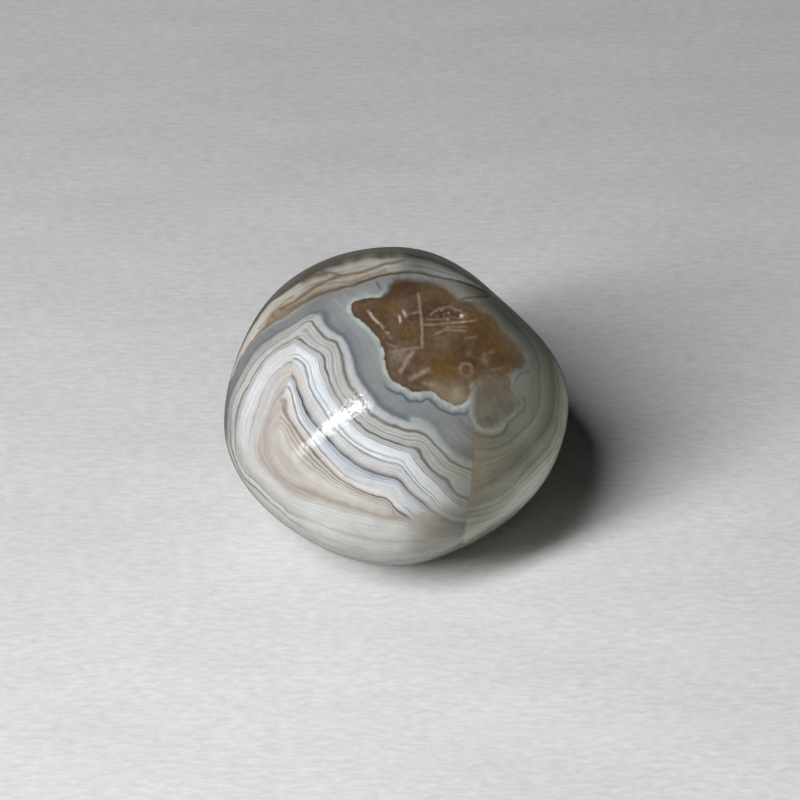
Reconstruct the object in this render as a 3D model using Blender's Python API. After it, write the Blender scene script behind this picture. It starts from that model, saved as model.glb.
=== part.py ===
"""A tumbled crazy lace agate: one polished stone about 30 mm across.

The stone is a single rounded solid. Its body is an ellipsoid worn flatter on
several sides, and the worn sides run into each other over soft ridges. The
whole skin is one function of direction from the stone's centre.

Units: the driving dimensions are in millimetres and degrees, the model is in
metres. +Z is up, and the stone lies on a small true flat at z = 0.
"""

import math

import bmesh
import bpy
from mathutils import Vector

MM = 0.001

# Driving dimensions of the rounded body (mm)
STONE_CENTRE = Vector((0.05, -0.29, 12.4))
SEMI_AXES = Vector((15.4, 15.8, 14.3))

# Power that blends the body with its worn sides: higher gives crisper ridges
RIDGE_POWER = 14

# Worn sides: compass direction and slope (degrees), distance from the centre (mm)
WORN_SIDES = {
    "resting_face": (0, -90, 12.7),
    "upper_right": (37, 34, 13.1),
    "lower_right": (-52, -34, 13.8),
    "lower_left": (-135, -36, 14.5),
    "left": (165, 16, 15.3),
    "right": (-15, -16, 15.3),
    "front_low": (-100, -38, 14.5),
    "front_top": (-80, 62, 13.5),
    "left_front": (-139, 43, 14.4),
    "front": (-101, 19, 15.0),
    "back_left": (139, 57, 14.2),
    "back": (84, 45, 14.7),
}

# Soft hollows: compass direction, slope and spread (degrees), depth (mm).
# A negative depth is a low swell.
HOLLOWS = {
    "right_upper": (6, 9, 14, 0.24),
    "left_lower": (198, -19, 13, 0.24),
    "front_foot": (-76, -46, 13, 0.20),
    "left_shoulder": (182, -2, 12, 0.10),
    "upper_right_swell": (47, 42, 9, -0.12),
    "back_hollow": (70, 44, 8, 0.10),
    "right_low": (-25, -20, 12, 0.10),
}
HOLLOW_REFERENCE_RADIUS = 15.0

# Cells along each edge of the cube that is blown up into the stone
CELLS_PER_EDGE = 24

AGATE_COLOUR = (0.46, 0.45, 0.42, 1.0)
AGATE_ROUGHNESS = 0.12


def direction(azimuth_deg, elevation_deg):
    """Unit vector from a compass direction (0 is +X, 90 is +Y) and a slope."""
    azimuth = math.radians(azimuth_deg)
    elevation = math.radians(elevation_deg)
    level = math.cos(elevation)
    return Vector((math.cos(azimuth) * level, math.sin(azimuth) * level, math.sin(elevation)))


def blended_radius(way):
    """Distance (mm) from the centre to the body worn flat on its sides."""
    stretched = Vector(way[i] / SEMI_AXES[i] for i in range(3))
    closeness = stretched.length ** RIDGE_POWER
    for azimuth, elevation, distance in WORN_SIDES.values():
        facing = max(way.dot(direction(azimuth, elevation)), 0.0)
        closeness += (facing / distance) ** RIDGE_POWER
    return closeness ** (-1.0 / RIDGE_POWER)


def hollow_factor(way):
    """How far the soft hollows draw the skin in, as a factor on the radius."""
    factor = 1.0
    for azimuth, elevation, spread, depth in HOLLOWS.values():
        apart = math.degrees(way.angle(direction(azimuth, elevation)))
        factor -= depth / HOLLOW_REFERENCE_RADIUS * math.exp(-((apart / spread) ** 2))
    return factor


def skin_point(way):
    """Point of the stone's skin (mm) in a direction, cut level at the resting face."""
    point = STONE_CENTRE + way * (blended_radius(way) * hollow_factor(way))
    point.z = max(point.z, 0.0)
    return point


def even_direction(corner):
    """Direction through a point of the unit cube, warped for cells of even size."""
    warped = Vector(math.tan(value * math.pi / 4.0) for value in corner)
    return warped.normalized()


def agate_mesh():
    """Blow a finely divided cube up into the stone's skin."""
    shape = bmesh.new()
    bmesh.ops.create_cube(shape, size=2.0)
    bmesh.ops.subdivide_edges(
        shape, edges=shape.edges[:], cuts=CELLS_PER_EDGE - 1, use_grid_fill=True
    )
    for vertex in shape.verts:
        vertex.co = skin_point(even_direction(vertex.co)) * MM
    bmesh.ops.recalc_face_normals(shape, faces=shape.faces[:])
    mesh = bpy.data.meshes.new("agate")
    shape.to_mesh(mesh)
    shape.free()
    mesh.shade_smooth()
    return mesh


def agate_material():
    """Polished banded stone, in the mean colour of its bands."""
    material = bpy.data.materials.new("polished agate")
    material.use_nodes = True
    shader = material.node_tree.nodes["Principled BSDF"]
    shader.inputs["Base Color"].default_value = AGATE_COLOUR
    shader.inputs["Roughness"].default_value = AGATE_ROUGHNESS
    shader.inputs["Metallic"].default_value = 0.0
    return material


def build():
    for old in list(bpy.data.objects):
        bpy.data.objects.remove(old, do_unlink=True)
    mesh = agate_mesh()
    mesh.materials.append(agate_material())
    stone = bpy.data.objects.new("agate", mesh)
    bpy.context.scene.collection.objects.link(stone)


build()
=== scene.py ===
"""The looks of a tumbled crazy lace agate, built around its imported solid.

The solid is repeated as a finer skin. Every band of the stone is a level of a
smooth field drawn through contours on the face plane: the plane through the
stone's centre that faces the camera. Points of the skin read the fields, and
colour ramps turn the fields into bands, so no picture is used anywhere.

Lengths are in millimetres unless a name says otherwise; the scene is in metres.
"""

import math

import bpy
import numpy as np
from mathutils import Matrix, Vector


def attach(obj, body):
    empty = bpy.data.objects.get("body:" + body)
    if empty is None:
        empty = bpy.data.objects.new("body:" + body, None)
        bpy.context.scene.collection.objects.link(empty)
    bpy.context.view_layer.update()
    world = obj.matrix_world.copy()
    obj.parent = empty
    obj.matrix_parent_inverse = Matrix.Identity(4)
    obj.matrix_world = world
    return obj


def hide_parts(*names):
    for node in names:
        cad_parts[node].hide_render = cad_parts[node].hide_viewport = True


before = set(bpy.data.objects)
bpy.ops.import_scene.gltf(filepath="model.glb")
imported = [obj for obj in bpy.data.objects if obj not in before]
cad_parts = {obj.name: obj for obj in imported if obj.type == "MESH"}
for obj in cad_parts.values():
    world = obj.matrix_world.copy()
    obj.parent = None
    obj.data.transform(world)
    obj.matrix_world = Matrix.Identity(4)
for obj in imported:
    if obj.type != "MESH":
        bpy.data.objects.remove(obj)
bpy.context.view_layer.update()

MM = 0.001

# The rounded body, as in the part's source
STONE_CENTRE = np.array([0.05, -0.29, 12.4])
SEMI_AXES = np.array([15.4, 15.8, 14.3])
RIDGE_POWER = 14
WORN_SIDES = {
    "resting_face": (0, -90, 12.7),
    "upper_right": (37, 34, 13.1),
    "lower_right": (-52, -34, 13.8),
    "lower_left": (-135, -36, 14.5),
    "left": (165, 16, 15.3),
    "right": (-15, -16, 15.3),
    "front_low": (-100, -38, 14.5),
    "front_top": (-80, 62, 13.5),
    "left_front": (-139, 43, 14.4),
    "front": (-101, 19, 15.0),
    "back_left": (139, 57, 14.2),
    "back": (84, 45, 14.7),
}
HOLLOWS = {
    "right_upper": (6, 9, 14, 0.24),
    "left_lower": (198, -19, 13, 0.24),
    "front_foot": (-76, -46, 13, 0.20),
    "left_shoulder": (182, -2, 12, 0.10),
    "upper_right_swell": (47, 42, 9, -0.12),
    "back_hollow": (70, 44, 8, 0.10),
    "right_low": (-25, -20, 12, 0.10),
}
HOLLOW_REFERENCE_RADIUS = 15.0

# Camera, set from the photograph's 800 x 800 frame
IMAGE_WIDTH_PX = 800
STONE_IN_PHOTO_PX = (397, 407)
PX_PER_MM = 11.47
CAMERA_ELEVATION_DEG = 42.0
CAMERA_DISTANCE = 220.0
SENSOR_WIDTH = 36.0

# Skin: cells along each cube edge, and how much they crowd towards the camera
CELLS_PER_EDGE = 127
CROWDING = 1.8

# Contours of the lace on the face plane (mm right, mm up), by band number.
# Band 0 is the lace's outer edge, 7 its innermost line.
LACE = {
    0.4: [(-1.5, -13.5), (-3, -13.3), (-4, -13.05), (-5, -12.8), (-6, -12.5), (-7, -12), (-8.3, -11.2)],
    0: [
        (-14.85, -3.2), (-14.9, -2), (-14.8, -0.5), (-14.6, 0.6), (-14.3, 1.5), (-14, 2.3),
        (-13.6, 2.9), (-13.2, 3.6), (-12.8, 4.3), (-12.4, 4.9), (-11.8, 5.5), (-11, 6.1),
        (-10.3, 6.6), (-9.5, 7), (-8.7, 7.5), (-8, 7.9), (-7.4, 8.15), (-6.7, 8.3), (-6.35, 8),
        (-6.2, 7.4), (-5.7, 6.85), (-5.1, 6.5), (-4.6, 6.15), (-4.25, 5.6), (-3.95, 5),
        (-3.75, 4.3), (-3.62, 3.6), (-3.4, 2.9), (-3, 2.2), (-2.5, 1.5), (-2, 0.9), (-1.6, 0.35),
        (-1.1, -0.1), (-0.4, -0.5), (0.3, -0.8), (1, -1.05), (2, -1.15), (2.7, -1.35),
        (3.05, -1.7), (3.5, -2.3), (4, -2.9), (4.5, -3.5), (5.2, -4.1), (5.9, -4.5), (6.7, -4.8),
    ],
    1: [
        (6, -11.3), (4, -12.1), (2, -12.6), (0, -12.8), (-2, -12.7), (-3.5, -12.4), (-5, -12),
        (-6.3, -11.5), (-7.5, -10.9), (-8.5, -10.3), (-9.4, -9.75), (-10, -9.1), (-10.7, -8.6),
        (-11.3, -8.1), (-12, -7.4), (-12.8, -6.7), (-13.3, -6.2), (-13.8, -5.4), (-14.2, -4.3),
        (-14.45, -3.3), (-14.5, -2.2), (-14.5, -1), (-14.35, 0), (-14.1, 0.9), (-13.8, 1.6),
        (-13.35, 2.4), (-12.9, 3.2), (-12.3, 4.1), (-11.5, 4.9), (-10.6, 5.6), (-9.6, 6.2),
        (-8.8, 6.8), (-8.1, 7.35), (-7.5, 7.65), (-7.3, 7.35), (-6.9, 6.8), (-6.5, 6.35),
        (-6.1, 6), (-5.7, 5.85), (-5.3, 5.7), (-5.1, 5.3), (-4.9, 4.8), (-4.75, 4.2), (-4.7, 3.6),
        (-4.55, 3), (-4.3, 2.4), (-4, 1.8), (-3.5, 1.2), (-3.1, 0.7), (-2.7, 0), (-2.2, -0.6),
        (-1.6, -1), (-0.9, -1.4), (0, -1.75), (0.9, -2), (1.8, -2.1), (2.6, -2.5), (3.2, -3.1),
        (3.9, -3.8), (4.5, -4.5), (5, -4.85), (5.8, -5.2), (6.6, -5.5),
    ],
    2: [
        (6, -11), (4, -11.5), (2, -11.8), (0, -11.9), (-2, -11.7), (-4, -11.3), (-5.5, -10.8),
        (-7, -10.2), (-8.3, -9.65), (-9.4, -9.2), (-10, -8.6), (-10.6, -8.1), (-11.2, -7.5),
        (-11.8, -6.9), (-12.5, -6.3), (-13.1, -5.7), (-13.6, -5), (-14, -4), (-14.1, -3),
        (-14.05, -2), (-13.9, -0.9), (-13.6, 0.2), (-13.2, 1.2), (-12.7, 2.2), (-12.1, 3.2),
        (-11.5, 4.1), (-10.8, 4.8), (-10, 5.3), (-9.2, 5.75), (-8.7, 5.95), (-8.2, 5.75),
        (-7.6, 5.35), (-6.9, 4.9), (-6.5, 4.6), (-6.3, 4.1), (-6.2, 3.4), (-6, 2.8), (-5.8, 2.2),
        (-5.5, 1.5), (-5.2, 0.9), (-4.8, 0.4), (-4.2, -0.4), (-3.8, -0.9), (-3.2, -1.4),
        (-2.7, -1.9), (-2.1, -2.25), (-1.4, -2.6), (-0.6, -2.9), (0.2, -3.2), (1, -3.4),
        (1.7, -3.55), (2, -3.8), (2.2, -4.3), (2.6, -4.9), (3.1, -5.5), (3.7, -5.95), (4.2, -6.2),
        (4.5, -6.6), (4.8, -7.1), (5.3, -7.6), (5.9, -7.85), (6.5, -8),
    ],
    3: [
        (6, -10.85), (4, -11.15), (2, -11.2), (0, -11.1), (-2, -10.85), (-4, -10.4), (-6, -9.9),
        (-7.8, -9.3), (-9, -8.8), (-9.7, -8.3), (-10.4, -7.7), (-11.1, -7), (-11.8, -6.3),
        (-12.5, -5.7), (-13.1, -5), (-13.5, -4.1), (-13.65, -3), (-13.6, -2.1), (-13.4, -1),
        (-13, 0.2), (-12.5, 1.4), (-11.9, 2.6), (-11.2, 3.6), (-10.4, 4.4), (-9.5, 4.9),
        (-8.8, 5.2), (-8.3, 4.9), (-7.7, 4.5), (-7.2, 4.1), (-7, 3.5), (-6.85, 2.9), (-6.6, 2.2),
        (-6.3, 1.6), (-6, 1), (-5.7, 0.5), (-5.3, -0.2), (-4.8, -0.9), (-4.3, -1.5), (-3.6, -2.2),
        (-2.8, -2.8), (-2, -3.2), (-1, -3.6), (0, -3.9), (0.8, -4.2), (1.3, -4.8), (1.7, -5.4),
        (2.3, -6.1), (2.9, -6.6), (3.5, -7.2), (4.1, -7.9), (4.7, -8.5), (5.4, -8.9), (6.3, -9.2),
    ],
    4: [
        (6, -10.75), (4, -10.95), (2, -10.85), (0, -10.5), (-2, -10.15), (-4, -9.7), (-5.5, -9.3),
        (-7, -8.8), (-8.2, -8.4), (-9.2, -7.9), (-10.1, -7.2), (-10.9, -6.5), (-11.6, -5.8),
        (-12.2, -5.1), (-12.6, -4.3), (-12.8, -3.3), (-12.7, -2.2), (-12.4, -1), (-12, 0.1),
        (-11.6, 1.2), (-11.1, 2.2), (-10.5, 3), (-9.7, 3.6), (-9.1, 3.8), (-8.6, 3.6), (-8.3, 3),
        (-8.1, 2.3), (-7.9, 1.6), (-7.6, 0.9), (-7.2, 0.2), (-6.8, -0.4), (-6.4, -1), (-6, -1.6),
        (-5.4, -2.3), (-4.7, -3), (-4, -3.6), (-3.2, -4.2), (-2.2, -4.7), (-1.2, -5.1),
        (-0.3, -5.3), (0.3, -5.5), (0.8, -6.1), (1.4, -6.8), (2.1, -7.5), (2.9, -8.1),
        (3.5, -8.8), (4.3, -9.4), (5.2, -9.8), (6.2, -10),
    ],
    5: [
        (6, -10.65), (4, -10.75), (2, -10.5), (0.5, -10.15), (-1.5, -9.8), (-3, -9.4), (-4.5, -9),
        (-6.2, -8.5), (-7.2, -8.3), (-8.4, -7.7), (-9.4, -7.1), (-10.3, -6.4), (-11.1, -5.7),
        (-11.7, -5), (-12.1, -4.2), (-12.2, -3.2), (-12, -2), (-11.6, -0.8), (-11.2, 0.3),
        (-10.8, 1.3), (-10.3, 2.2), (-9.7, 2.8), (-9.2, 2.9), (-8.9, 2.5), (-8.7, 1.8),
        (-8.4, 1), (-8.1, 0.2), (-7.8, -0.5), (-7.4, -1.1), (-6.95, -1.6), (-6.4, -2.2),
        (-5.7, -3), (-5, -3.7), (-4.3, -4.3), (-3.5, -4.9), (-2.7, -5.35), (-1.8, -5.7),
        (-1, -5.9), (-0.2, -6.15), (0.3, -6.4), (0.8, -7), (1.4, -7.6), (2, -8.05), (2.6, -8.6),
        (3.2, -9.1), (3.9, -9.6), (4.7, -10), (5.6, -10.2), (6.3, -10.3),
    ],
    5.6: [
        (-9.2, 1.2), (-9, 0.4), (-8.8, -0.4), (-8.5, -1.2), (-8.1, -1.8), (-7.5, -2.6),
        (-6.9, -3.4), (-6, -4.5), (-5, -5.5), (-4, -6.2), (-3, -6.65), (-2, -6.9), (-1.1, -7.1),
        (-0.5, -7.45), (0, -8), (0.5, -8.5), (1.1, -9.1), (1.7, -9.7), (2.3, -10.1),
    ],
    6: [
        (1.2, -9.85), (0, -9.7), (-1.2, -9.5), (-2.4, -9.2), (-3.4, -8.9), (-4.5, -8.5),
        (-5.6, -8.2), (-6.6, -7.8), (-7.6, -7.3), (-8.7, -6.9), (-9.6, -6.4), (-10.4, -5.7),
        (-11, -4.9), (-11.4, -4.1), (-11.5, -3), (-11.3, -1.9), (-10.9, -0.8), (-10.5, 0.2),
        (-10.15, 0.5), (-9.95, 0.1), (-9.8, -0.5), (-9.5, -1.1), (-9, -1.75), (-8.5, -2.5),
        (-8, -3.2), (-7.3, -3.9), (-6.7, -4.6), (-6.1, -5.2), (-5.4, -5.9), (-4.6, -6.5),
        (-3.8, -7), (-3, -7.4), (-2.1, -7.65), (-1.3, -7.9), (-0.8, -8.15), (-0.4, -8.6),
        (0.1, -9.1), (0.8, -9.5),
    ],
    7: [
        (-10.4, -2), (-10, -3.6), (-9, -5), (-8, -5.9), (-7, -6.6), (-5.5, -7.3), (-4, -7.8),
        (-2.5, -8.3), (-1, -8.9),
    ],
}

# Contours of the strip beyond the top ridge: 0 its rust line, 1 its dark edge, 2 the skyline
BACK_STRIP = {
    0: [
        (-13.9, 3.6), (-13.5, 4.5), (-12.9, 5.4), (-12.4, 6), (-12, 6.5), (-11.4, 7), (-10.9, 7.35),
        (-10.3, 7.75), (-9.8, 8.05), (-9.2, 8.5), (-8.6, 8.9), (-8, 9.2), (-7.4, 9.55), (-6.8, 9.8),
        (-6, 10.1), (-5, 10.35), (-4, 10.6), (-3.2, 10.9), (-2.4, 11.15), (-1.6, 11.4),
        (-0.8, 11.6), (0, 11.72), (1, 11.8), (2, 11.7), (3, 11.5), (4, 11.25), (5, 11.05),
        (6, 10.8), (7, 10.45), (7.7, 10.1), (8.3, 9.8),
    ],
    1: [
        (-14.1, 4), (-13.75, 4.8), (-13.4, 5.6), (-13, 6.4), (-12.5, 7.2), (-12, 7.9),
        (-11.5, 8.6), (-11, 9.2), (-10.4, 9.6), (-9.8, 10), (-9, 10.6), (-8.3, 11.1),
        (-7.5, 11.55), (-7, 11.85), (-6, 12.15), (-5, 12.4), (-4, 12.65), (-3, 12.95), (-2, 13),
        (-1, 13), (0, 13.1), (0.6, 13.1), (1.6, 12.9), (2.5, 12.75), (3.5, 12.45), (4.5, 12.05),
        (5.5, 11.55), (6.3, 11.1), (7, 10.7), (7.7, 10.25), (8.4, 9.85),
    ],
    2: [
        (-14.4, 4), (-13.8, 5.8), (-13, 7.2), (-12.1, 8.4), (-11, 9.65), (-9.7, 10.85),
        (-8, 12.1), (-6, 13.15), (-4, 13.7), (-2, 14.05), (-0.5, 14.1), (1, 13.9), (3, 13.4),
        (5, 12.55), (7, 11.25), (8.5, 10),
    ],
}

# Contours right of the crack, from the quartz (0) to the right skyline (5)
RIGHT_SIDE = {
    0: [
        (7.4, 9.5), (8.2, 8.9), (9.2, 7.9), (9.9, 7), (10.7, 6), (11.5, 5), (11.7, 4), (11.8, 3),
        (11.4, 2), (11.6, 1), (11.7, 0), (11.2, -0.9), (10.4, -1.6), (9.8, -2.3), (9, -2.8),
        (8, -3.1), (7.2, -3), (6.6, -2.6),
    ],
    1: [
        (8.5, 9.4), (9.8, 8.4), (11, 7.3), (12, 6.1), (12.6, 5), (12.9, 4), (13, 3), (13.1, 2),
        (13.1, 1), (13, 0), (12.7, -1), (12.1, -1.9), (11.3, -2.7), (10.4, -3.5), (9.5, -4.2),
        (8.5, -4.6), (7.5, -4.8), (6.6, -4.9),
    ],
    2: [
        (10.5, 8.3), (11.6, 7.2), (12.4, 6.2), (13, 5.1), (13.3, 4), (13.5, 3), (13.6, 1.5),
        (13.5, 0), (13.2, -1.2), (12.7, -2.1), (12, -2.8), (11.2, -3.6), (10.5, -4.3),
        (9.8, -4.9), (9, -5.5), (8, -6.1), (7.2, -6.5), (6.5, -6.7),
    ],
    3: [
        (11.3, 7.7), (12.3, 6.8), (13.1, 5.6), (13.6, 4.5), (13.9, 3.2), (14.1, 1.8), (14.1, 0.5),
        (14, -1), (13.6, -2.4), (13, -3.5), (12.2, -4.4), (11.4, -5.2), (10.7, -6), (9.9, -6.8),
        (9, -7.4), (8, -7.9), (7, -8.2), (6.4, -8.3),
    ],
    4: [
        (13, 6.3), (13.8, 4.8), (14.3, 3.2), (14.6, 1.8), (14.65, 0), (14.5, -2), (14, -3.6),
        (13.2, -4.9), (12.1, -6), (11.1, -6.9), (10.3, -7.9), (9.4, -8.8), (8.3, -9.3),
        (7.2, -9.6), (6.3, -9.8),
    ],
    5: [
        (14.9, 2.5), (15.1, 0.5), (15, -0.8), (14.6, -3.2), (13.6, -5.8), (12.2, -7.6),
        (10.7, -9.1), (9.2, -10.1), (7.6, -10.8), (6.3, -11.4),
    ],
}

# Where the lace folds back on itself: right limb on one side, left limb on the other
FOLD_LINE = [
    (-5.8, 9.4), (-6.55, 8.3), (-7.45, 7.6), (-8.7, 5.9), (-8.8, 5.2), (-9.1, 3.8), (-9.2, 2.9),
    (-10.12, 0.5), (-10.3, -2), (-10, -3.6), (-9, -5), (-8, -5.9), (-7, -6.6), (-5.5, -7.3),
    (-4, -7.8), (-2.5, -8.3), (-1, -8.9), (0.3, -9.5), (2, -10.3), (4, -10.7), (6, -10.6),
]

# The healed crack that parts the lace from the right side
CRACK_LINE = [
    (6.35, 0.2), (6.6, -1.4), (6.8, -2.6), (6.75, -4), (6.6, -5.5), (6.5, -7), (6.25, -8.5),
    (6.05, -10), (5.75, -11.3), (5.6, -12.6),
]

# Where the step from the lace to the right side leaves the stone at the top
CRACK_TOP = (4.3, 13.5)

# Brown quartz pocket and the paler lobe below it
QUARTZ_OUTLINE = [
    (-4, 8.5), (-3.6, 8), (-3.1, 7.5), (-2.5, 7), (-2, 6.4), (-1.6, 5.9), (-1.3, 5.3),
    (-1.1, 4.6), (-1.1, 3.8), (-0.9, 3), (-0.5, 2.5), (0, 2.1), (0.5, 1.9), (1, 1.55),
    (1.4, 1.3), (2, 1.3), (2.6, 1.45), (3.3, 1.2), (3.9, 0.85), (4.4, 0.4), (5, 0.1),
    (5.7, 0.2), (6.2, 0.6), (6.4, 1.2), (6.6, 1.9), (7.4, 2.2), (8.3, 2.4), (9, 2.3),
    (9.6, 2.5), (10, 2.8), (10.2, 3.05), (10.7, 3.2), (11.2, 3.4), (11.2, 3.9), (11.1, 4.5),
    (10.9, 4.9), (10.5, 5.4), (10, 5.9), (9.7, 6.2), (9.3, 6.6), (9, 7.2), (8.6, 7.8),
    (8, 8.2), (7.2, 8.6), (6.8, 8.95), (6, 9.25), (5.3, 9.4), (4.9, 9.8), (4.5, 10.3),
    (3.8, 10.7), (3, 11), (2, 11.1), (1, 11.2), (0.2, 11.25), (-0.3, 11.05), (-0.7, 10.6),
    (-0.9, 10), (-1.3, 9.6), (-2, 9.5), (-3, 9.5), (-3.6, 9.3), (-3.95, 8.95),
]
LOBE_OUTLINE = [
    (6.4, 1.6), (6.35, 0.6), (6.3, -0.3), (6.5, -1.2), (6.9, -1.9), (7.4, -2.2), (8.2, -2.3),
    (8.9, -2.1), (9.35, -1.8), (9.6, -1.2), (10.2, -0.7), (10.8, -0.2), (11, 0.3), (10.9, 1),
    (10.4, 1.4), (10.2, 2), (10, 2.7), (9, 3), (7.5, 3),
]

# Lowest and highest band of each field, between which it folds back and forth when hidden
LACE_LEVELS = (0.3, 7.2)
RIGHT_LEVELS = (0.5, 5.3)
STRIP_LEVELS = (0.3, 6.8)

# Spacing of the points that hold a field's plate, how far it may stray from them, and the
# step over which its steepness is measured
KNOT_STEP = 0.7
PLATE_GIVE = 0.02
SLOPE_STEP = 0.08

# Pale rim round the quartz: width, and how much fainter it is to the right and on top
RIM_WIDTH = 0.27
THIN_RIM_WIDTH = 0.14
RIGHT_RIM_FADING = 0.75
TOP_RIM_FADING = 0.95
CORNER_RIM_GAIN = 0.4

# Half widths of soft edges: the quartz where it is crisp, where it is blurred and where it
# meets the lobe; the step beside the lace along the crack, above it and at its foot
CRISP_EDGE = 0.08
BLURRED_EDGE = 0.30
JUNCTION_EDGE = 0.5
CRACK_EDGE = 0.03
UPPER_EDGE = 1.6
FOOT_EDGE = 0.3

# How much darker the stone is painted to the right, low down, at its foot, beyond the crack and at
# the upper right, and how painted light brightens it again towards the right skyline; partly its own
# tone
RIGHT_PAINTED_SHADE = 0.10
LOWER_PAINTED_SHADE = 0.32
FOOT_PAINTED_SHADE = 0.1
BEYOND_CRACK_PAINTED_SHADE = 0.36
UPPER_RIGHT_PAINTED_SHADE = 0.25
SKYLINE_PAINTED_LIGHT = 0.78

# Relief: pits of the druzy patch and the seam of the healed crack
DRUZY_DEPTH = 0.10
COARSE_GRAIN = 0.35
FINE_GRAIN = 0.2
CRACK_DEPTH = 0.02
CRACK_HALF_WIDTH = 0.10

# Small wavering of every contour, and raggedness of the quartz's edge: amount, size of a wave
WAVER = [(0.05, 0.9), (0.03, 0.4)]
RAGGED_EDGE = [(0.10, 0.5), (0.07, 0.25)]

# The hidden side carries the bands on, turned and shifted more the further back it is:
# turn and sway for each mm behind the face plane, their wavelengths, drift in bands, and
# how fast the quartz closes
HIDDEN_TURN_DEG = 5.0
HIDDEN_SWAY = 0.16
SWAY_WAVE = 6.0
TURN_WAVE = 9.0
LACE_DRIFT = 0.42
RIGHT_DRIFT = 0.40
STRIP_DRIFT = 0.60
QUARTZ_CLOSING = 0.9

# How strongly each part of the stone is lit, where its colours were read
FULL_LIGHT = 1.25
LEFT_LIGHT = 1.40
LOW_LIGHT = 1.20
STRIP_LIGHT = 1.0
STRIP_END_LIGHT = 0.75
SHADE_LIGHT = 0.40
QUARTZ_LIGHT = 1.05
LOBE_LIGHT = 0.95
RIM_LIGHT = 1.20

# Polish: roughness where it is best and worst, and height of the slight unevenness
BEST_POLISH = 0.05
WORST_POLISH = 0.13
AGATE_IOR = 1.54
UNEVENNESS = 0.028

# Which way the tall window's long side runs
WINDOW_LEAN = (0.617, 0.068, 0.783)
WORLD_LIGHT = 0.002

# Floor under the stone: fibres and smudges to the metre, and how dim it is painted towards the back,
# painted shade where the window's light falls off. For a dark room behind the stone, the stone's polish
# shows the floor dimmer there: a painted reflection.
FLOOR_SIZE = 3000.0
FLOOR_COLOUR = (0.74, 0.74, 0.74)
FIBRE_SCALE = 2400.0
SMUDGE_SCALE = 160.0
FIBRE_STRETCH = 0.3
FLOOR_SHADE_FROM = -25.0
FLOOR_SHADE_TO = 60.0
FLOOR_BACK_SHADE = 0.77
MIRRORED_FROM = -12.0
MIRRORED_TO = 4.0
MIRRORED_FRONT = 0.75
MIRRORED_BACK = 0.2

# Needles and shards in the quartz, and its sparkles, which are painted highlights: strength, half
# width, points
QUARTZ_NEEDLES = [
    (0.75, 0.10, [(1.9, 9.9), (2, 9), (2.1, 8), (2.2, 6.5), (2.2, 5.2)]),
    (0.7, 0.10, [(-2.5, 8.4), (-2.1, 7.85), (-1.45, 7.25), (-1.25, 6.95)]),
    (0.4, 0.10, [(-1.25, 6.95), (-1, 6.6), (-0.5, 6)]),
    # The next two strokes are painted glints, in the needles' pale colour
    (0.8, 0.1, [(0.2, 8), (0.35, 7.4)]),
    (0.8, 0.1, [(0.55, 8.4), (0.8, 7.9)]),
    (0.6, 0.10, [(2.3, 7.2), (4, 7.3), (6.3, 7.5), (6.9, 7.6)]),
    (0.45, 0.11, [(3.3, 6.4), (4.3, 6.8), (6, 6.6)]),
    (0.4, 0.10, [(4.3, 7), (6, 7)]),
    (0.4, 0.10, [(0.9, 8.1), (1.9, 8.3)]),
    (0.4, 0.11, [(-0.6, 4.8), (0.5, 5), (1.6, 5.2), (2.2, 5.3)]),
    (0.65, 0.19, [(0.3, 3.1), (0.7, 3.7), (1.1, 4.4), (1.4, 4.8)]),
    (0.6, 0.21, [(1.2, 2.5), (1.8, 2.8), (2.7, 3.3)]),
    (0.5, 0.2, [(2.4, 2.1), (3.2, 2)]),
    (0.4, 0.13, [(5.6, 2.95), (5.5, 3.4), (5.75, 3.8), (6.2, 3.85), (6.55, 3.5), (6.5, 3)]),
    (0.2, 0.13, [(5.6, 2.95), (5.9, 2.7), (6.3, 2.75), (6.5, 3)]),
    (0.35, 0.15, [(6, 6), (6.9, 6.15)]),
    (0.4, 0.09, [(2.9, 8.1), (3.6, 8.7), (4.6, 8.8), (5.6, 8.4), (6.2, 7.9)]),
    (0.35, 0.09, [(2.6, 7.7), (3.6, 7.7), (4.8, 7.9), (6, 7.7)]),
    (0.35, 0.12, [(-0.9, 5.6), (-0.2, 5.3), (0.4, 4.6)]),
    (0.3, 0.15, [(7.6, 4.6), (8.4, 4.9)]),
    (0.3, 0.12, [(8.2, 3.3), (9.2, 3.5)]),
]
# White sparkles: painted highlights
QUARTZ_PAINTED_SPARKLES = [
    (1.0, 0.12, [(5.62, 8), (5.66, 7.98)]),
    (0.4, 0.06, [(5.6, 7.42), (5.95, 7.46)]),
    (0.45, 0.06, [(4.4, 7.62), (4.5, 7.68)]),
    (0.35, 0.06, [(3.8, 8.5), (4, 8.6)]),
    (0.35, 0.06, [(4.5, 8.3), (4.6, 8.25)]),
    (0.5, 0.06, [(0.25, 7.9), (0.32, 7.5)]),
    (0.4, 0.06, [(0.6, 8.3), (0.72, 8)]),
    (0.5, 0.06, [(-2.35, 8.2), (-2.05, 7.75), (-1.6, 7.35)]),
    (0.35, 0.05, [(-0.9, 6.6), (-0.75, 6.5)]),
    (0.7, 0.1, [(-1.65, 10.7), (-1.55, 10.7)]),
]

# Soft spots: mm right, mm up, radius, strength. First those of the quartz.
OCHRE_SPOTS = [
    (-0.5, 8.8, 0.9, 0.55), (1.3, 6.5, 0.9, 0.45), (3.5, 3, 1.1, 0.55), (4.8, 3.6, 1, 0.5),
    (7, 7, 1.2, 0.45), (8.8, 5.2, 1.2, 0.35),
]
CREAM_SPOTS = [
    (5.2, 1.1, 0.95, 1.0), (0.1, 4.5, 0.8, 0.4), (7.6, 4.1, 0.35, 0.5), (6.3, 4.7, 0.3, 0.4),
    (3.6, 1.7, 0.8, 0.45), (3.8, 6, 1.1, 0.16), (4.6, 5.2, 0.9, 0.12),
]
DRUZY_SPOTS = [
    (3.3, 8.1, 0.7, 0.9), (4.4, 8.2, 0.75, 0.9), (5.4, 8, 0.6, 0.8), (10.3, 6.1, 0.4, 1),
]

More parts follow.
